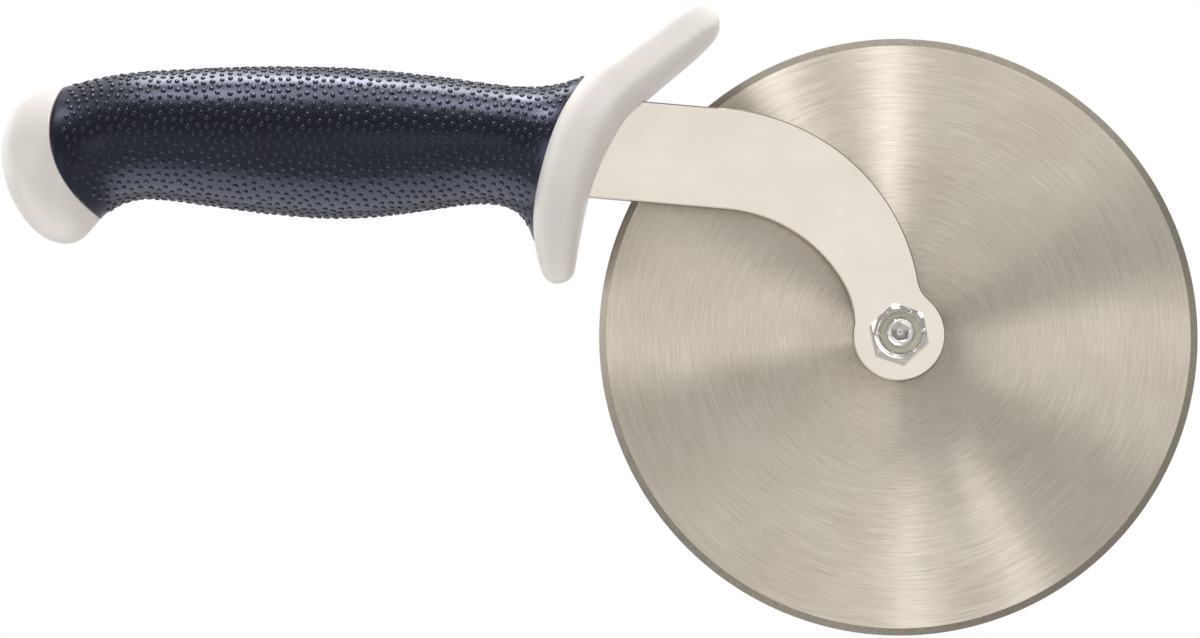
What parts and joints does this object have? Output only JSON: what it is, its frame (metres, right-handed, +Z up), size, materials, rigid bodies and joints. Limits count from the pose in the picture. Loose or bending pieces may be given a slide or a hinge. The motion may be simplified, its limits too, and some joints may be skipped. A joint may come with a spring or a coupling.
{
  "type": "pizza cutter wheel",
  "caption": "Pizza cutter: a round ground blade spins on a bolted axle at the end of a swan-necked steel arm, with a pommel, a textured grip and a guard with a thumb rest.",
  "frame": {"origin": "middle of the grip", "axes": "+X along the handle towards the wheel, +Y along the axle from the nut to the bolt's head, +Z up to the thumb rest"},
  "size_m": [0.2537, 0.0342, 0.1345],
  "materials": {
    "blade_steel": "stainless steel brushed in circles, ground bevel",
    "arm_steel": "stainless steel plate, fine satin polish",
    "handle_plastic": "off-white polypropylene, satin moulded",
    "grip_rubber": "dark blue-grey thermoplastic rubber with small raised pebbles",
    "fastener_steel": "bright stainless steel",
    "washer_nylon": "natural nylon",
    "insert_nylon": "grey nylon"
  },
  "bodies": {
    "handle": {"arm_plate": "arm_steel", "handle_core": "handle_plastic", "grip_sleeve": "grip_rubber", "axle_bolt": "fastener_steel", "axle_sleeve": "fastener_steel", "front_washer": "washer_nylon", "back_washer": "washer_nylon", "lock_nut": "fastener_steel", "nut_insert": "insert_nylon"},
    "wheel": {"wheel_blade": "blade_steel"}
  },
  "joints": [
    {"name": "wheel_spin", "type": "hinge", "parent": "handle", "child": "wheel", "pos_m": [0.1185, 0, -0.041], "axis": [0, 1, 0], "continuous": true}
  ]
}
